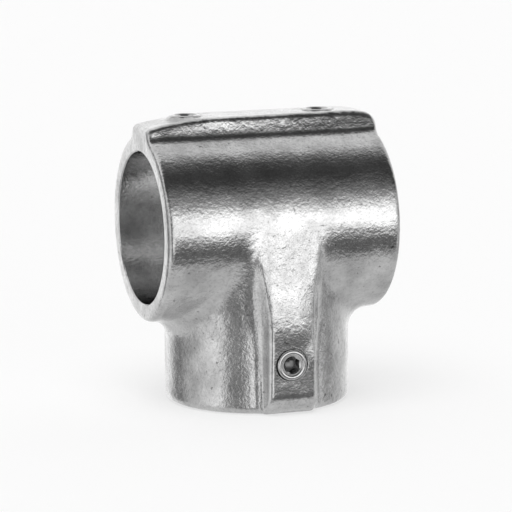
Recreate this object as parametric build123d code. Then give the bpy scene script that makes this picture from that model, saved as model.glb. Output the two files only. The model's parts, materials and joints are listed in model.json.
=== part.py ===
from build123d import *
import math
import os

# Tube clamp tee fitting for 48.3 mm tube: one galvanised casting and its three set screws.
# Millimetres. Origin where the run bore and the branch bore cross; +X along the run, +Z up.
# The branch hangs down -Z and its screw faces -Y. The two run screws are on top.

# --- tube and bores -----------------------------------------------------------------------
tube_diameter = 48.3
bore_play = 1.9                # room round the tube, on the diameter
bore_mouth = 0.5               # chamfer at each open end

# --- run barrel ---------------------------------------------------------------------------
run_length = 80.0
run_wall = 5.9
run_rim_round = 2.0            # outer edge of each end face, and the pad's long edges

# --- branch socket ------------------------------------------------------------------------
branch_drop = 59.2             # run axis to the branch's rim
branch_step = 0.25             # how far the branch's outside lies inside the barrel's
branch_rim_round = 2.5
root_fillet = 7.0              # where the branch grows out of the run

# --- pad along the top of the run -----------------------------------------------------------
run_pad_width = 18.2
run_pad_rise = 5.3             # above the barrel
run_pad_fillet = 4.2           # pad side into barrel
left_fall_length = 26.0        # the pad's top falls away in a long arc at this end
left_fall = 3.0
right_fall_length = 12.0       # and in a short one at the other
right_fall = 1.4
right_end_round = 4.5

# --- pad down the front of the branch -------------------------------------------------------
branch_pad_width = 15.8
branch_pad_shift = 0.4         # the pad's middle from the branch's axis, towards +X
branch_pad_rise = 4.75         # in front of the socket
branch_pad_upright = 28.0      # height of the upright, parallel part, from the rim
branch_pad_turn = 6.0          # height over which the face then turns to the slope above it
branch_pad_flare = 7.0         # how far each side has flared out at the pad's top
branch_pad_draft = 15.0        # slope of the sides, in degrees
branch_pad_top_draft = 32.0    # and at the pad's top, where they fade into the barrel
branch_pad_fillet = 3.5        # pad side into socket
branch_pad_edge = 1.2          # rounding of the pad's upright edges
branch_pad_top_edge = 7.0
branch_pad_steps = 5           # sections that the flared part is drawn through
branch_pad_toe = 7.0           # radius that brings the foot of the pad back to the rim

# --- set screws -----------------------------------------------------------------------------
screw_diameter = 10.0
screw_length = 10.0
screw_end_chamfer = 0.5
screw_key = 5.0                # across the flats of the hexagon socket
screw_key_depth = 5.0
screw_key_lead = 0.55          # conical lead-in outside the hexagon's corners
screw_cup_diameter = 6.4
screw_cup_depth = 1.2
run_screw_stand = 0.4          # screw's outer face above its pad
branch_screw_stand = -0.3
thread_clearance = 0.05        # screw to hole, on the radius
countersink = 0.85
left_screw_inset = 16.0        # run screws' axes from the barrel's ends
right_screw_inset = 18.0
branch_screw_rise = 17.0       # above the branch's rim

# --- worked out from the values above ---------------------------------------------------------
bore_radius = (tube_diameter + bore_play) / 2
run_radius = bore_radius + run_wall
branch_radius = run_radius - branch_step
run_pad_top = run_radius + run_pad_rise
branch_pad_face = branch_radius + branch_pad_rise
hole_radius = screw_diameter / 2 + thread_clearance
sink = 0.03                    # how far one surface dips under the next where they meet


def run_barrel():
    """Barrel and top pad: one section drawn along the run, its top falling away at both ends."""
    half = run_length / 2
    with BuildSketch(Plane.YZ) as section:
        Circle(run_radius)
        with Locations((0, run_pad_top / 2)):
            Rectangle(run_pad_width, run_pad_top)
        shoulders = section.vertices().filter_by(lambda v: run_radius / 2 < v.Y < run_radius)
        fillet(shoulders, run_pad_fillet)
    barrel = extrude(section.sketch, amount=half, both=True)

    below = -run_radius - 1
    left_top = (-half, run_pad_top - left_fall)
    left_crest = (-half + left_fall_length, run_pad_top)
    right_crest = (half - right_fall_length, run_pad_top)
    right_top = (half, run_pad_top - right_fall)
    with BuildSketch(Plane.XZ) as side_view:
        with BuildLine():
            Polyline(left_top, (-half, below), (half, below), right_top)
            TangentArc(right_crest, right_top, tangent=(1, 0))
            Line(right_crest, left_crest)
            TangentArc(left_crest, left_top, tangent=(-1, 0))
        make_face()
        top_corners = side_view.vertices().filter_by(lambda v: v.Y > 0)
        fillet(top_corners.sort_by(Axis.X)[-1], right_end_round)
    barrel &= extrude(side_view.sketch, amount=run_radius + 1, both=True)

    # The right end's rim runs on smoothly along the pad's long edges, so it comes last.
    for end in (-half, half):
        outline = barrel.edges().filter_by(lambda edge: abs(edge.center().X - end) < 0.01)
        sides = outline.filter_by(
            lambda edge: edge.geom_type == GeomType.CIRCLE or abs(edge.tangent_at(0.5).Y) < 0.9
        )
        barrel = fillet(sides, run_rim_round)
    return barrel


def branch_pad_side(corner, lean):
    """One side of the branch pad in plan: leaning flank, then a hollow fillet that meets the socket."""
    side = Vector(math.sin(lean), math.cos(lean))
    outward = Vector(math.cos(lean), -math.sin(lean))
    hug = branch_radius - sink
    base = corner + outward * branch_pad_fillet
    reach = base.dot(side)
    run_in = -reach - math.sqrt(reach**2 - base.dot(base) + (hug + branch_pad_fillet) ** 2)
    centre = base + side * run_in
    leave = centre - outward * branch_pad_fillet
    meet = centre * (hug / centre.length)
    middle = centre + ((leave + meet) / 2 - centre).normalized() * branch_pad_fillet
    return corner, leave, middle, meet


def branch_pad_section(level, face, climb):
    """Plan of the branch pad at one height; climb goes from 0 where it starts to flare to 1 at its top."""
    half_width = branch_pad_width / 2 + branch_pad_flare * climb**2
    lean = math.radians(branch_pad_draft + (branch_pad_top_draft - branch_pad_draft) * climb**2)
    edge = branch_pad_edge + (branch_pad_top_edge - branch_pad_edge) * climb**2
    right = branch_pad_side(Vector(half_width + branch_pad_shift, -face), lean)
    left = branch_pad_side(Vector(half_width - branch_pad_shift, -face), lean)
    left = [Vector(-point.X, point.Y) for point in left]
    with BuildSketch(Plane.XY.offset(level)) as plan:
        with BuildLine():
            Polyline(left[1], left[0], right[0], right[1])
            ThreePointArc(*right[1:])
            Line(right[3], left[3])
            ThreePointArc(left[3], left[2], left[1])
        make_face()
        fillet(plan.vertices().filter_by(lambda v: abs(v.Y + face) < 0.01), edge)
    return plan.sketch


def branch_pad():
    """Pad on the front of the branch: upright over the screw, then leaning back to graze the barrel."""
    rim = -branch_drop
    start = rim + branch_pad_upright
    bend = start + branch_pad_turn / 2
    touch = run_radius - sink
    angle = math.atan2(bend, branch_pad_face) + math.acos(touch / math.hypot(branch_pad_face, bend))
    graze = Vector(touch * math.cos(angle), touch * math.sin(angle))
    slope = (branch_pad_face - graze.X) / (graze.Y - bend)

    upright = extrude(branch_pad_section(rim, branch_pad_face, 0), amount=branch_pad_upright)
    sections = []
    for step in range(branch_pad_steps + 1):
        climb = step / branch_pad_steps
        rise = (graze.Y - start) * climb
        turned = min(rise, branch_pad_turn)
        set_back = slope * (turned**2 / (2 * branch_pad_turn) + rise - turned)
        sections.append(branch_pad_section(start + rise, branch_pad_face - set_back, climb))
    return upright + loft(sections)


def toe_cut():
    """What is cut from the foot of the branch pad to leave its toe round."""
    front = -branch_pad_face
    with BuildSketch(Plane.YZ) as corner:
        with Locations((front - 1, -branch_drop - 1)):
            Rectangle(branch_pad_toe + 1, branch_pad_toe + 1, align=(Align.MIN, Align.MIN))
        with Locations((front + branch_pad_toe, -branch_drop + branch_pad_toe)):
            Circle(branch_pad_toe, mode=Mode.SUBTRACT)
    return extrude(corner.sketch, amount=branch_pad_width, both=True)


def tapped_hole(mouth):
    """Hole and countersink, from the face of a pad at z = mouth down to the middle of the bore."""
    hole = Cylinder(hole_radius, mouth, align=(Align.CENTER, Align.CENTER, Align.MIN))
    flare = Cone(
        hole_radius,
        hole_radius + 2 * countersink,
        2 * countersink,
        align=(Align.CENTER, Align.CENTER, Align.MIN),
    )
    return hole + Pos(0, 0, mouth - countersink) * flare


def set_screw():
    """Cup-point set screw hanging down -Z from its outer face, with a hexagon socket in that face."""
    radius = screw_diameter / 2
    key_corner = screw_key / math.sqrt(3)
    cup = screw_cup_diameter / 2
    with BuildSketch(Plane.XZ) as half_section:
        with BuildLine():
            Polyline(
                (0, 0),
                (radius - screw_end_chamfer, 0),
                (radius, -screw_end_chamfer),
                (radius, -screw_length + radius - cup),
                (cup, -screw_length),
                (0, -screw_length + screw_cup_depth),
                (0, 0),
            )
        make_face()
    screw = revolve(half_section.sketch, Axis.Z)
    with BuildSketch() as hexagon:
        RegularPolygon(key_corner, 6)
    screw -= extrude(hexagon.sketch, amount=-screw_key_depth)
    lead = Cone(
        key_corner - screw_key_lead,
        key_corner + screw_key_lead,
        screw_key_lead * 2,
        align=(Align.CENTER, Align.CENTER, Align.CENTER),
    )
    drill_point = Cone(0, screw_key / 2, screw_key / 4, align=(Align.CENTER, Align.CENTER, Align.MAX))
    return screw - lead - Pos(0, 0, -screw_key_depth) * drill_point


def casting():
    """Barrel, branch and both pads, then the rims, the bores and the tapped holes."""
    hanging = (Align.CENTER, Align.CENTER, Align.MAX)
    body = run_barrel() + Cylinder(branch_radius, branch_drop, align=hanging)
    plain = (GeomType.LINE, GeomType.CIRCLE)
    root = [edge for edge in body.edges() if edge.geom_type not in plain and edge.center().Z < 0]
    body = fillet(root, root_fillet) + branch_pad()
    rim = body.edges().filter_by(lambda edge: abs(edge.center().Z + branch_drop) < 0.01)
    body = fillet(rim, branch_rim_round) - toe_cut()

    body -= Rotation(0, 90, 0) * Cylinder(bore_radius, run_length + 1)
    body -= Cylinder(bore_radius, branch_drop + 1, align=hanging)
    bore_edges = body.edges().filter_by(GeomType.CIRCLE)
    bore_edges = bore_edges.filter_by(lambda edge: abs(edge.radius - bore_radius) < 0.01)
    mouths = bore_edges.filter_by(
        lambda edge: abs(abs(edge.arc_center.X) - run_length / 2) < 0.01
        or abs(edge.arc_center.Z + branch_drop) < 0.01
    )
    body = chamfer(mouths, bore_mouth)
    for place, mouth, stand, turn in screw_seats.values():
        body -= place * tapped_hole(mouth)
    return body


# Each screw's axis starts on its bore's axis and points out through the pad. Then come the pad's
# height on that axis, how far the screw stands out of it, and how far its hexagon is turned.
run_seat_left = Pos(left_screw_inset - run_length / 2, 0, 0)
run_seat_right = Pos(run_length / 2 - right_screw_inset, 0, 0)
branch_seat = Pos(0, 0, -branch_drop + branch_screw_rise) * Rotation(90, 0, 0)
screw_seats = {
    "set_screw_run_left": (run_seat_left, run_pad_top, run_screw_stand, 12),
    "set_screw_run_right": (run_seat_right, run_pad_top, run_screw_stand, -17),
    "set_screw_branch": (branch_seat, branch_pad_face, branch_screw_stand, 30),
}

os.makedirs("parts", exist_ok=True)
export_step(casting(), "parts/tee_casting.step")
for name, (place, mouth, stand, turn) in screw_seats.items():
    screw = place * Pos(0, 0, mouth + stand) * Rotation(0, 0, turn) * set_screw()
    export_step(screw, "parts/" + name + ".step")
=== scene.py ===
"""Looks of the tube clamp tee fitting: a galvanised casting and three set screws in a plain studio."""

import json
import math
from types import SimpleNamespace

import bmesh
import bpy
import numpy as np
from mathutils import Matrix, Vector, noise


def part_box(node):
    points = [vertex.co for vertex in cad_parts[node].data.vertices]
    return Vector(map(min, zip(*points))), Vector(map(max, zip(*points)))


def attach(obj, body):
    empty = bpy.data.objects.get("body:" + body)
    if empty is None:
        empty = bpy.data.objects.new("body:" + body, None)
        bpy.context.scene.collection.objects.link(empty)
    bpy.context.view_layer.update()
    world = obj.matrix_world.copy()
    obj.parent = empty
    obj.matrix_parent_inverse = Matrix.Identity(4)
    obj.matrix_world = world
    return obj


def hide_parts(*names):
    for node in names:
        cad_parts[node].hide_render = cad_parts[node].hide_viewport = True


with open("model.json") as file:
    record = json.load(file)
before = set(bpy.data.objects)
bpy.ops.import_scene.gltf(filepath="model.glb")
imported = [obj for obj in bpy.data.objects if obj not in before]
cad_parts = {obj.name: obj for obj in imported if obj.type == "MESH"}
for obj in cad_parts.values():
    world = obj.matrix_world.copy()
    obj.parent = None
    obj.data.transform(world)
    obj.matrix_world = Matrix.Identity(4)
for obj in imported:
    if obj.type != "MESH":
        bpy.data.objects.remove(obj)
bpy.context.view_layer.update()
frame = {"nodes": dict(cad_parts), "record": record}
nodes = frame["nodes"]

MM = 0.001

# --- places, from the frame -------------------------------------------------------------------
# The run pad lies along the top of the barrel, the branch pad goes down the front of the branch.
casting_low, casting_high = (Vector(corner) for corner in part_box("tee_casting"))
mounts = {mount["name"]: mount for mount in frame["record"]["mounts"]}
bore_radius = mounts["run_sleeve"]["dims"]["r_mm"] * MM
run_half = casting_high.x
rim_level = casting_low.z
run_pad_top = casting_high.z
branch_pad_face = casting_low.y

# --- the casting's skin -----------------------------------------------------------------------
voxel = 0.6 * MM
plug_wall = 1.2 * MM            # how far the bores' plugs reach into the metal round them
bore_mouth = 0.5 * MM           # chamfer where a bore opens
hole_play = 0.25 * MM           # screw to hole, on the radius
countersink = 0.6 * MM
set_back = 0.06                 # how far the skin lies behind the CAD faces on average, in mm

# The branch pad's face leans in towards the rim, below a knee, and turns round to its two sides.
pad_knee = rim_level + 33 * MM
pad_lean = math.tan(math.radians(2.2))
right_turn_start = 2 * MM
right_turn_width = 7 * MM
right_turn_curve = 26.0         # per metre
left_bevel_start = 6.3 * MM
left_bevel_width = 1.2 * MM
left_bevel_slope = 0.21

# The run pad's long sides lean back from their foot up: least at the left end, most at the right.
side_foot = run_pad_top - 4.8 * MM
side_lean_left = 2.0            # degrees
side_lean_gain = 15.0           # degrees

# --- set screws -------------------------------------------------------------------------------
thread_pitch = 1.5 * MM
thread_depth = 0.8 * MM
thread_flank = 0.42             # half a groove's width, as a share of the pitch
key_flats = 5.0 * MM
key_depth = 5.0 * MM
key_lead = 0.45 * MM            # lead-in at the key socket's mouth
crown_height = 0.55 * MM        # rolled edge of the outer face, and the dish inside it
crown_width = 0.8 * MM
crown_dish = 0.65 * crown_height
cup_radius = 3.2 * MM
cup_depth = 1.2 * MM
screw_turns = {"set_screw_run_left": 12, "set_screw_run_right": -17, "set_screw_branch": 30}  # degrees

# --- studio -----------------------------------------------------------------------------------
sun_strength = 0.62 * math.pi
floor_shade = 0.93
floor_glow = 0.62               # share of the floor's look that is its own light, like a lit paper sweep


# --- small helpers ----------------------------------------------------------------------------


def smoothstep(value, start, end):
    share = np.clip((value - start) / (end - start), 0.0, 1.0)
    return share * share * (3 - 2 * share)


def window(value, rise, fall):
    """1 from the end of the rise to the start of the fall, with smooth slopes down to 0 beyond them."""
    return smoothstep(value, *rise) * (1 - smoothstep(value, *fall))


def object_from(mesh, name):
    """Object made from a bmesh, with its faces turned outwards."""
    bmesh.ops.recalc_face_normals(mesh, faces=mesh.faces[:])
    data = bpy.data.meshes.new(name)
    mesh.to_mesh(data)
    mesh.free()
    thing = bpy.data.objects.new(name, data)
    bpy.context.scene.collection.objects.link(thing)
    return thing


def turned(name, profile, place, segments=96, radius_at=None):
    """Solid of revolution from (radius, height) points that start and end on the axis."""
    mesh = bmesh.new()
    rings = []
    for radius, height in profile:
        if radius == 0:
            rings.append([mesh.verts.new((0, 0, height))])
            continue
        ring = []
        for step in range(segments):
            turn = 2 * math.pi * step / segments
            reach = radius_at(radius, height, turn) if radius_at else radius
            ring.append(mesh.verts.new((reach * math.cos(turn), reach * math.sin(turn), height)))
        rings.append(ring)
    for low, high in zip(rings, rings[1:]):
        for step in range(segments):
            after = (step + 1) % segments
            if len(low) == 1:
                mesh.faces.new((low[0], high[after], high[step]))
            elif len(high) == 1:
                mesh.faces.new((low[step], low[after], high[0]))
            else:
                mesh.faces.new((low[step], low[after], high[after], high[step]))
    mesh.transform(place)
    return object_from(mesh, name)


def settle(thing):
    """Replace the thing's mesh by what its modifiers make of it."""
    bpy.context.view_layer.update()
    shaped = thing.evaluated_get(bpy.context.evaluated_depsgraph_get())
    data = bpy.data.meshes.new_from_object(shaped)
    thing.modifiers.clear()
    thing.data = data


def join(first, others):
    """Put the others' meshes into the first, and remove them."""
    mesh = bmesh.new()
    for thing in [first, *others]:
        mesh.from_mesh(thing.data)
    data = bpy.data.meshes.new(first.name)
    mesh.to_mesh(data)
    mesh.free()
    first.data = data
    for thing in others:
        bpy.data.objects.remove(thing)


def cut(body, tool):
    """Take the tool's shape out of the body, and remove the tool."""
    modifier = body.modifiers.new("cut", "BOOLEAN")
    modifier.operation = "DIFFERENCE"
    modifier.solver = "MANIFOLD"
    modifier.object = tool
    settle(body)
    bpy.data.objects.remove(tool)


def smooth(thing, sharp_from=180):
    """Shade smooth, apart from edges that turn by more degrees than sharp_from."""
    for polygon in thing.data.polygons:
        polygon.use_smooth = True
    thing.data.set_sharp_from_angle(angle=math.radians(sharp_from))


def screw_place(name):
    """From a screw's own axes, with its outer face at z = 0 and its tip below, to its place."""
    low, high = (Vector(corner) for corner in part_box(name))
    middle = (low + high) / 2
    if name == "set_screw_branch":
        return Matrix.Translation((middle.x, low.y, middle.z)) @ Matrix.Rotation(math.pi / 2, 4, "X")
    return Matrix.Translation((middle.x, middle.y, high.z))


def screw_size(name):
    """Diameter and length."""
    low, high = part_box(name)
    return high[0] - low[0], (high[1] - low[1] if name == "set_screw_branch" else high[2] - low[2])


def screw_stand(name):
    """How far a screw's outer face stands out of its pad."""
    low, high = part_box(name)
    if name == "set_screw_branch":
        return branch_pad_face - low[1]
    return high[2] - run_pad_top


# --- casting ----------------------------------------------------------------------------------

right = Matrix.Rotation(math.pi / 2, 4, "Y")
left = right @ Matrix.Rotation(math.pi, 4, "X")
down = Matrix.Rotation(math.pi, 4, "X")


def bore_tool(name, reach, place):
    """Cutter for a bore from just behind z = 0 out to a chamfered mouth at z = reach, and on past it."""
    overrun = 2 * MM
    start = -1 * MM
    end = reach - bore_mouth
    rings = 24
    profile = [(0, start)]
    profile += [(bore_radius, start + (end - start) * ring / rings) for ring in range(rings + 1)]
    profile += [(bore_radius + bore_mouth + overrun, reach + overrun), (0, reach + overrun)]
    return turned(name, profile, place, 128)


def hole_tool(name):
    """Cutter for a screw's hole, with its countersink where the skin has the pad's face."""
    diameter, length = screw_size(name)
    place = screw_place(name)
    face = -screw_stand(name)
    if name == "set_screw_branch":
        face -= pad_lean * (pad_knee - place.translation.z)
    radius = diameter / 2 + hole_play
    flare = radius + countersink
    overrun = 2 * MM
    bottom = -length - 6 * MM
    profile = [(0, bottom), (radius, bottom), (radius, face - countersink), (flare, face)]
    profile += [(flare + overrun, face + overrun), (0, face + overrun)]
    return turned(name + "_hole", profile, place)


def plugs():
    """Solids that close the bores and the screw holes, so that the skin is made whole and cut anew."""
    radius = bore_radius + plug_wall
    run = [(0, -run_half), (radius, -run_half), (radius, run_half), (0, run_half)]
    branch = [(0, rim_level), (radius, rim_level), (radius, 0), (0, 0)]
    made = [turned("run_plug", run, right), turned("branch_plug", branch, Matrix())]
    for name in screw_turns:
        diameter, length = screw_size(name)
        stand = screw_stand(name)
        radius = diameter / 2 + 2 * countersink
        profile = [(0, -length), (radius, -length), (radius, -stand), (0, -stand)]
        made.append(turned(name + "_plug", profile, screw_place(name)))
    return made


def mesh_arrays(data):
    """Points, their normals, and the two ends of each edge."""
    points = np.empty(len(data.vertices) * 3)
    data.vertices.foreach_get("co", points)
    normals = np.empty(len(data.vertices) * 3)
    data.vertex_normals.foreach_get("vector", normals)
    ends = np.empty(len(data.edges) * 2, dtype=np.int64)
    data.edges.foreach_get("vertices", ends)
    return points.reshape(-1, 3), normals.reshape(-1, 3), ends.reshape(-1, 2)


def relax(points, ends, weight, rounds):
    """Pull each point towards its neighbours' average, as far as its weight says."""
    count = len(points)
    degree = np.bincount(ends.ravel(), minlength=count)
    for _ in range(rounds):
        for axis in range(3):
            values = points[:, axis]
            total = np.bincount(ends[:, 0], values[ends[:, 1]], count)
            total += np.bincount(ends[:, 1], values[ends[:, 0]], count)
            points[:, axis] += weight * (total / degree - values)


def fill_hollows(points, normals, ends, weight, rounds):
    """Let zinc gather in the hollows: points move outwards only, towards their neighbours' average."""
    count = len(points)
    degree = np.bincount(ends.ravel(), minlength=count)
    for _ in range(rounds):
        along = np.zeros(count)
        for axis in range(3):
            values = points[:, axis]
            total = np.bincount(ends[:, 0], values[ends[:, 1]], count)
            total += np.bincount(ends[:, 1], values[ends[:, 0]], count)
            along += (total / degree - values) * normals[:, axis]
        points += normals * (weight * np.maximum(along, 0))[:, None]


def perlin(points, size, shift=(0.0, 0.0, 0.0)):
    """Smooth noise from about -1 to 1, in patches of a size that may differ by axis."""
    scaled = points / np.array(size) + np.array(shift)
    return np.array([noise.noise(Vector(point)) for point in scaled])


def in_mm(points):
    """Where points lie, in mm: also over the branch's rim and under the run pad's top."""
    x, y, z = points.T / MM
    return SimpleNamespace(
        across=x, front=-y, up=z, over_rim=z - rim_level / MM, under_top=run_pad_top / MM - z
    )


def skin_masks(points):
    """Where the skin is rougher: the run pad's sides, the branch pad, its slope, the branch and its root."""
    at = in_mm(points)
    sides = window(at.under_top, (0, 0.6), (4.5, 6)) * smoothstep(np.abs(at.front), 7.5, 8.8)
    pad = smoothstep(at.front, 29.5, 31.5)
    pad *= (1 - smoothstep(np.abs(at.across), 9, 14)) * (1 - smoothstep(at.up, -2, 10))
    slope = pad * smoothstep(at.over_rim, 25, 31)
    branch = window(at.over_rim, (0, 2), (24, 30))
    root = window(at.over_rim, (22, 26), (30, 34)) * window(-at.across, (19, 23), (29, 33))
    return sides, pad, slope, branch, root


def soften(points, ends):
    """Take the edge off all corners, but hardly in the hollows beside the branch pad."""
    at = in_mm(points)
    hollow = window(np.abs(at.across), (6, 7.5), (13, 15)) * window(at.front, (24, 26), (31, 33))
    relax(points, ends, 0.5 * (1 - 0.85 * hollow), 3)


def gather_zinc(points, normals, ends):
    """Round out the corners where the branch pad meets the barrel, and the foot of the run pad's sides."""
    at = in_mm(points)
    corners = smoothstep(at.front, 18, 24) * (1 - smoothstep(np.abs(at.across), 17, 26))
    corners *= smoothstep(at.over_rim, 18, 40) * (1 - smoothstep(at.up, -6, 6))
    fill_hollows(points, normals, ends, 0.8 * corners, 110)

    at = in_mm(points)
    foot = (1 - smoothstep(at.under_top, 10, 12)) * window(np.abs(at.front), (6, 8), (14, 17))
    foot *= 1 - smoothstep(np.abs(at.across), 34, 38)
    fill_hollows(points, normals, ends, 0.8 * foot, 60)


def lean_pads(points):
    """Lean the run pad's sides back and the branch pad's face in, and turn that face round to its sides."""
    x, y, z = points.T
    lean = side_lean_left + side_lean_gain * smoothstep(x, -0.5 * run_half, run_half)
    drawn_in = np.tan(np.radians(lean)) * np.maximum(z - side_foot, 0)
    y -= np.sign(y) * drawn_in * smoothstep(np.abs(y), 5 * MM, 9 * MM)

    at = in_mm(points)
    pad = smoothstep(at.front, 29.5, 32) * (1 - smoothstep(np.abs(at.across), 10, 15))
    y += pad * pad_lean * np.maximum(pad_knee - z, 0)
    turning = pad * smoothstep(at.over_rim, 18, 28) * (1 - smoothstep(at.up, -24, -12))
    y += turning * right_turn_curve * np.clip(x - right_turn_start, 0, right_turn_width) ** 2
    y += pad * left_bevel_slope * np.clip(-x - left_bevel_start, 0, left_bevel_width)


def swell(points, masks):
    """How far sand and zinc raise the skin or leave it low, in mm."""
    sides, pad, slope, branch, root = masks
    rise = 0.07 * perlin(points, 13 * MM)
    rise += 0.030 * perlin(points, 4.0 * MM, (7, 3, 1)) + 0.016 * perlin(points, 1.8 * MM, (2, 9, 4))
    rise += sides * 0.15 * perlin(points, (1.5 * MM, 2 * MM, 2.6 * MM), (5, 5, 5))
    rise += slope * 0.07 * perlin(points, 2.2 * MM, (1, 8, 2))
    rise += pad * 0.01 * perlin(points, 1.5 * MM, (3, 1, 7))
    rise += branch * 0.04 * perlin(points, (3.5 * MM, 3.5 * MM, 9 * MM), (4, 4, 2))
    rise += root * 0.12 * perlin(points, 1.9 * MM, (8, 2, 6))
    return rise - set_back


def mark_coarseness(skin):
    """Tell the zinc how grainy it is at each point, from 0 to 1."""
    sides, pad, slope, branch, root = skin_masks(mesh_arrays(skin.data)[0])
    amount = 0.5 + 0.5 * sides + 0.8 * slope - 0.38 * pad + 0.15 * branch + 0.4 * root
    coarseness = skin.data.attributes.new("coarseness", "FLOAT", "POINT")
    coarseness.data.foreach_set("value", np.clip(amount, 0, 1))


def casting_skin():
    """The casting with the unevenness of sand and zinc, its bores and holes cut clean through it."""
    skin = nodes["tee_casting"].copy()
    skin.data = nodes["tee_casting"].data.copy()
    skin.name = "casting_skin"
    bpy.context.scene.collection.objects.link(skin)
    join(skin, plugs())
    modifier = skin.modifiers.new("even", "REMESH")
    modifier.mode = "VOXEL"
    modifier.voxel_size = voxel
    settle(skin)

    points, normals, ends = mesh_arrays(skin.data)
    soften(points, ends)
    masks = skin_masks(points)
    gather_zinc(points, normals, ends)
    lean_pads(points)
    points += normals * (swell(points, masks) * MM)[:, None]
    points = np.clip(points, np.array(casting_low), np.array(casting_high))
    skin.data.vertices.foreach_set("co", points.ravel())
    skin.data.update()

    cut(skin, bore_tool("run_bore_right", run_half, right))
    cut(skin, bore_tool("run_bore_left", run_half, left))
    cut(skin, bore_tool("branch_bore", -rim_level, down))
    for name in screw_turns:
        cut(skin, hole_tool(name))
    mark_coarseness(skin)
    smooth(skin, 34)
    return skin


# --- screws -----------------------------------------------------------------------------------


def set_screw(name):
    """Cup-point set screw with its thread cut as a helix and a hexagon socket in its outer face."""
    diameter, length = screw_size(name)
    radius = diameter / 2
    tip = length - (radius - cup_radius)
    run_in = 1.2 * MM
    run_out = 0.8 * MM

    def threaded(reach, height, turn):
        depth = -height
        fade = min(1.0, max(0.0, (depth - crown_height) / run_in))
        fade *= min(1.0, max(0.0, (tip - depth) / run_out))
        phase = (depth / thread_pitch + turn / (2 * math.pi)) % 1.0
        groove = 1 - min(1.0, abs(phase - 0.5) / thread_flank)
        return reach - fade * thread_depth * groove

    profile = [(0, -crown_dish)]
    for turn in range(160, 0, -16):
        angle = math.radians(turn)
        reach = radius - crown_width + crown_width * math.cos(angle)
        profile.append((reach, crown_height * (math.sin(angle) - 1)))
    rows = 64
    shank = tip - crown_height
    profile += [(radius, -crown_height - shank * row / rows) for row in range(rows + 1)]
    burr = 0.15 * MM
    profile += [(cup_radius + burr, -length), (cup_radius - burr, -length), (0, -length + cup_depth)]
    screw = turned(name + "_worn", profile, Matrix(), 72, threaded)

    corner = key_flats / math.sqrt(3)
    over = 1 * MM
    hexagon = [(0, over), (corner, over), (corner, -key_depth), (0, -key_depth)]
    cut(screw, turned("key", hexagon, Matrix.Rotation(math.radians(screw_turns[name]), 4, "Z"), 6))
    mouth = [(0, key_lead), (corner + 2 * key_lead, key_lead), (corner - key_lead, -2 * key_lead)]
    cut(screw, turned("lead", [*mouth, (0, -2 * key_lead)], Matrix(), 72))
    drill_top = -key_depth + 0.1 * MM
    drill_tip = -key_depth - key_flats / 4
    cut(screw, turned("drill", [(0, drill_top), (key_flats / 2, drill_top), (0, drill_tip)], Matrix(), 48))
    # Painted shade: the key socket's walls get darker with depth, fully so from 3.2 mm down.
    painted_socket_shade = screw.data.attributes.new("painted_socket_shade", "FLOAT", "POINT")
    inside = [
        smoothstep(math.hypot(spot.co.x, spot.co.y), corner + 0.4 * MM, corner + 0.1 * MM)
        * smoothstep(-spot.co.z, 1.2 * MM, 3.2 * MM) for spot in screw.data.vertices
    ]
    painted_socket_shade.data.foreach_set("value", inside)
    screw.data.transform(screw_place(name))
    smooth(screw, 20)
    return screw


# --- materials --------------------------------------------------------------------------------


def new_material(name):
    """Material, its node tree, and the shader in it."""
    material = bpy.data.materials.new(name)
    material.use_nodes = True
    tree = material.node_tree
    return material, tree, tree.nodes["Principled BSDF"]


def noise_node(tree, position, scale, detail, roughness=0.5, distortion=0.0):
    """Noise from 0 to 1, with scale patches to a metre."""
    node = tree.nodes.new("ShaderNodeTexNoise")
    node.inputs["Scale"].default_value = scale
    node.inputs["Detail"].default_value = detail
    node.inputs["Roughness"].default_value = roughness
    node.inputs["Distortion"].default_value = distortion
    tree.links.new(position, node.inputs["Vector"])
    return node.outputs["Fac"]


def ramp_node(tree, value, stops):
    """Grey shade at each value, from (value, shade) stops."""
    node = tree.nodes.new("ShaderNodeValToRGB")
    ramp = node.color_ramp
    while len(ramp.elements) < len(stops):
        ramp.elements.new(0.5)
    for element, (place, shade) in zip(ramp.elements, stops):
        element.position = place
        element.color = (shade, shade, shade, 1.0)
    tree.links.new(value, node.inputs["Fac"])
    return node.outputs["Color"]


def math_node(tree, operation, first, second):
    """Result of an operation on two values, each a number or another node's output."""
    node = tree.nodes.new("ShaderNodeMath")
    node.operation = operation
    for socket, value in zip(node.inputs, (first, second)):
        if isinstance(value, (int, float)):
            socket.default_value = value
        else:
            tree.links.new(value, socket)
    return node.outputs["Value"]


def mix_node(tree, share, first, second):
    """From the first colour to the second, as far as the share says."""
    node = tree.nodes.new("ShaderNodeMix")
    node.data_type = "RGBA"
    tree.links.new(share, node.inputs["Factor"])
    for socket, value in (("A", first), ("B", second)):
        if isinstance(value, tuple):
            node.inputs[socket].default_value = value
        else:
            tree.links.new(value, node.inputs[socket])
    return node.outputs["Result"]


def attribute_node(tree, name):
    node = tree.nodes.new("ShaderNodeAttribute")
    node.attribute_name = name
    return node.outputs["Fac"]


def bump_node(tree, height, depth, strength=1.0, under=None):
    """Bumps of a depth in metres, laid over the normal that the bumps under them give."""
    node = tree.nodes.new("ShaderNodeBump")
    node.inputs["Distance"].default_value = depth
    if isinstance(strength, (int, float)):
        node.inputs["Strength"].default_value = strength
    else:
        tree.links.new(strength, node.inputs["Strength"])
    tree.links.new(height, node.inputs["Height"])
    if under:
        tree.links.new(under, node.inputs["Normal"])
    return node.outputs["Normal"]


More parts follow.
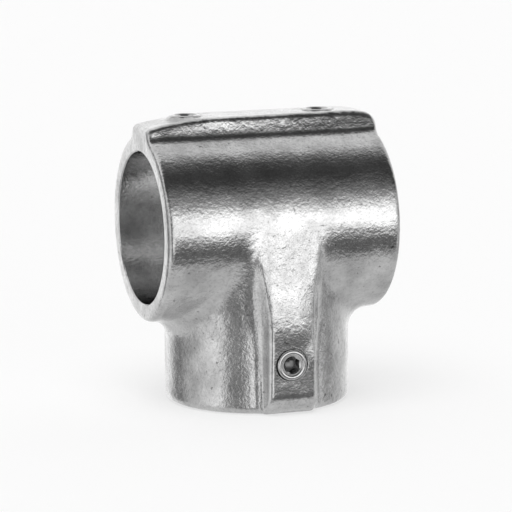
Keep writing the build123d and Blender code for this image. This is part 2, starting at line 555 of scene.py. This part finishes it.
def galvanised():
    """Hot-dip zinc over a sand casting: bright, with a fine orange peel and specks, and sparse dark specks
    of painted shade for small pits.
    """
    material, tree, shader = new_material("galvanised_iron")
    position = tree.nodes.new("ShaderNodeTexCoord").outputs["Object"]
    coarse = attribute_node(tree, "coarseness")
    shader.inputs["Metallic"].default_value = 1.0

    clouds = ramp_node(tree, noise_node(tree, position, 110.0, 7.0, 0.6), [(0.35, 0.60), (0.65, 0.88)])
    flecks = noise_node(tree, position, 1100.0, 3.0, 0.7)
    flecks = ramp_node(tree, flecks, [(0.32, 0.80), (0.5, 0.97), (0.7, 1.0)])
    # Painted shade: sparse dark specks stand for the shade in small pits, which the skin and the bumps do
    # not have.
    pit_shade_specks = ramp_node(tree, noise_node(tree, position, 560.0, 1.0), [(0.73, 1.0), (0.78, 0.5)])
    shade = math_node(tree, "MULTIPLY", math_node(tree, "MULTIPLY", clouds, flecks), pit_shade_specks)
    tree.links.new(shade, shader.inputs["Base Color"])
    dull = noise_node(tree, position, 190.0, 8.0, 0.65)
    tree.links.new(ramp_node(tree, dull, [(0.35, 0.08), (0.7, 0.20)]), shader.inputs["Roughness"])

    ripple = noise_node(tree, position, 420.0, 3.0, 0.5, 0.5)
    normal = bump_node(tree, ripple, 0.10 * MM, coarse)
    peel = noise_node(tree, position, 700.0, 4.0, 0.6, 0.3)
    normal = bump_node(tree, peel, 0.19 * MM, coarse, normal)
    grit = noise_node(tree, position, 1150.0, 3.0, 0.6)
    normal = bump_node(tree, grit, 0.16 * MM, math_node(tree, "POWER", coarse, 3.0), normal)
    grain = noise_node(tree, position, 1400.0, 4.0, 0.7)
    normal = bump_node(tree, grain, 0.06 * MM, 0.8, normal)
    tree.links.new(normal, shader.inputs["Normal"])
    return material


def plated():
    """Zinc-plated steel, slightly scuffed, with painted shade deep in the key socket."""
    material, tree, shader = new_material("plated_screw")
    position = tree.nodes.new("ShaderNodeTexCoord").outputs["Object"]
    shader.inputs["Metallic"].default_value = 1.0
    bright = ramp_node(tree, noise_node(tree, position, 500.0, 6.0, 0.6), [(0.3, 0.60), (0.7, 0.80)])
    # Painted shade: a dark grey mixed into the colour deep in the key socket, as far as the socket's shade
    # mask says.
    socket_shade_colour = (0.18, 0.18, 0.18, 1.0)
    tint = mix_node(tree, attribute_node(tree, "painted_socket_shade"), bright, socket_shade_colour)
    tree.links.new(tint, shader.inputs["Base Color"])
    dull = noise_node(tree, position, 900.0, 4.0)
    tree.links.new(ramp_node(tree, dull, [(0.35, 0.10), (0.7, 0.24)]), shader.inputs["Roughness"])
    scuff = noise_node(tree, position, 1500.0, 3.0)
    tree.links.new(bump_node(tree, scuff, 0.01 * MM, 0.6), shader.inputs["Normal"])
    return material


# --- studio -----------------------------------------------------------------------------------


def turn_share(tree, across, ahead):
    """Angle of a direction, as a share of a whole turn: 0.5 is straight ahead."""
    angle = math_node(tree, "ARCTAN2", across, ahead)
    return math_node(tree, "ADD", math_node(tree, "MULTIPLY", angle, 0.5 / math.pi), 0.5)


def studio():
    """The room that the metal shows: a front soft box, dark flags over and beside it, pale walls round."""
    world = bpy.data.worlds.new("studio")
    bpy.context.scene.world = world
    world.use_nodes = True
    tree = world.node_tree
    tree.nodes.clear()
    split = tree.nodes.new("ShaderNodeSeparateXYZ")
    tree.links.new(tree.nodes.new("ShaderNodeTexCoord").outputs["Generated"], split.inputs["Vector"])
    x, y, z = (split.outputs[axis] for axis in "XYZ")
    ahead = math_node(tree, "MULTIPLY", y, -1.0)
    climb = turn_share(tree, z, ahead)
    swing = turn_share(tree, x, ahead)

    # Degrees over the front horizon, and how bright the room is there: pale floor behind and under
    # the object, a dark table edge, the front soft box, a dark flag overhead, and the pale far wall.
    over = [
        (-180, 1.0), (-140, 0.62), (-110, 0.55), (-60, 0.54), (-44, 0.52),
        (-38, 0.13), (-22, 0.12), (-14, 0.20),
        (-8, 0.85), (-2, 1.35), (4, 1.5), (12, 1.5), (18, 1.15), (25, 0.60),
        (34, 0.30), (42, 0.20), (50, 0.11), (58, 0.06), (66, 0.04), (80, 0.065), (90, 0.11),
        (96, 0.22), (101, 0.60), (108, 0.66), (150, 0.78), (170, 1.0), (180, 1.0),
    ]
    # Degrees round from the front towards +X, near the horizon.
    round_about = [
        (-180, 1.0), (-161, 0.97), (-155, 0.68), (-147, 0.55), (-141, 0.18), (-132, 0.15),
        (-120, 0.40), (-108, 0.52), (-96, 0.58), (-84, 0.82), (-64, 0.88), (-55, 0.28),
        (-39, 0.16), (-34, 0.33), (-29, 0.55), (-25, 1.05), (0, 1.1), (8, 0.70),
        (40, 0.30), (52, 0.30), (60, 0.70), (67, 0.85), (73, 0.22), (81, 0.20),
        (88, 0.42), (94, 0.54), (112, 0.64), (132, 0.85), (146, 1.1), (180, 1.0),
    ]

    def degrees(stops):
        return [((place + 180) / 360, shade) for place, shade in stops]

    above_and_below = ramp_node(tree, climb, degrees(over))
    around = ramp_node(tree, swing, degrees(round_about))
    front_window = ramp_node(tree, swing, degrees([(-8, 0), (2, 1), (42, 1), (50, 0)]))
    lift = math_node(tree, "ADD", math_node(tree, "MULTIPLY", z, 0.5), 0.5)
    high_or_low = ramp_node(tree, lift, [(0.28, 1), (0.32, 0), (0.64, 0), (0.70, 1)])
    share = math_node(tree, "MAXIMUM", front_window, high_or_low)
    background = tree.nodes.new("ShaderNodeBackground")
    tree.links.new(mix_node(tree, share, around, above_and_below), background.inputs["Color"])
    output = tree.nodes.new("ShaderNodeOutputWorld")
    tree.links.new(background.outputs["Background"], output.inputs["Surface"])


def lamp():
    """Wide soft light from above, for the floor and its shadow; the metal has the room to show."""
    data = bpy.data.lights.new("overhead", "SUN")
    data.energy = sun_strength
    data.angle = math.radians(50)
    light = bpy.data.objects.new("overhead", data)
    light.rotation_euler = (math.radians(18), math.radians(-12), 0)
    light.visible_glossy = False
    bpy.context.scene.collection.objects.link(light)


def floor_paint():
    """Pale matt paint that looks partly lit from within, though it lights nothing by that."""
    material = bpy.data.materials.new("floor_paint")
    material.use_nodes = True
    tree = material.node_tree
    tree.nodes.clear()
    paint = tree.nodes.new("ShaderNodeBsdfDiffuse")
    paint.inputs["Color"].default_value = (floor_shade, floor_shade, floor_shade, 1.0)
    glow = tree.nodes.new("ShaderNodeEmission")
    glow.inputs["Strength"].default_value = 1.0
    rays = tree.nodes.new("ShaderNodeLightPath")
    seen = rays.outputs["Is Camera Ray"]
    mix = tree.nodes.new("ShaderNodeMixShader")
    tree.links.new(math_node(tree, "MULTIPLY", seen, floor_glow), mix.inputs["Fac"])
    tree.links.new(paint.outputs["BSDF"], mix.inputs[1])
    tree.links.new(glow.outputs["Emission"], mix.inputs[2])
    output = tree.nodes.new("ShaderNodeOutputMaterial")
    tree.links.new(mix.outputs["Shader"], output.inputs["Surface"])
    return material


def floor():
    """Round floor that curves up into a low wall far out, all round the object."""
    cove = [(0, 0), (4.5, 0), (5.4, 0.08), (6.0, 0.3), (6.3, 0.65), (6.4, 1.1)]
    plane = turned("floor", cove, Matrix.Translation((0, 0, rim_level)), 128)
    smooth(plane)
    plane.data.materials.append(floor_paint())
    plane.visible_glossy = False


def camera():
    """Long lens from the front left, a little above."""
    turn = math.radians(19.543)
    pitch = math.radians(9.774)
    roll = math.radians(-0.442)
    aim = Vector((math.sin(turn) * math.cos(pitch), math.cos(turn) * math.cos(pitch), -math.sin(pitch)))
    eye = Vector((-333.09, -938.75, 159.73)) * MM
    data = bpy.data.cameras.new("camera")
    data.lens = 213.65
    data.sensor_width = 36.0
    view = bpy.data.objects.new("camera", data)
    level = aim.cross(Vector((0, 0, 1))).normalized()
    up = level.cross(aim)
    rolled_right = level * math.cos(roll) + up * math.sin(roll)
    rolled_up = up * math.cos(roll) - level * math.sin(roll)
    axes = Matrix((rolled_right, rolled_up, -aim)).transposed()
    view.matrix_world = Matrix.Translation(eye) @ axes.to_4x4()
    bpy.context.scene.collection.objects.link(view)
    bpy.context.scene.camera = view


# --- the object -------------------------------------------------------------------------------

zinc = galvanised()
plate = plated()
skin = casting_skin()
skin.data.materials.clear()
skin.data.materials.append(zinc)
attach(skin, "root")
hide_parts("tee_casting")

for name in screw_turns:
    screw = set_screw(name)
    screw.data.materials.clear()
    screw.data.materials.append(plate)
    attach(screw, "root")
    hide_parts(name)

studio()
lamp()
floor()
camera()
bpy.context.scene.view_settings.view_transform = "Standard"
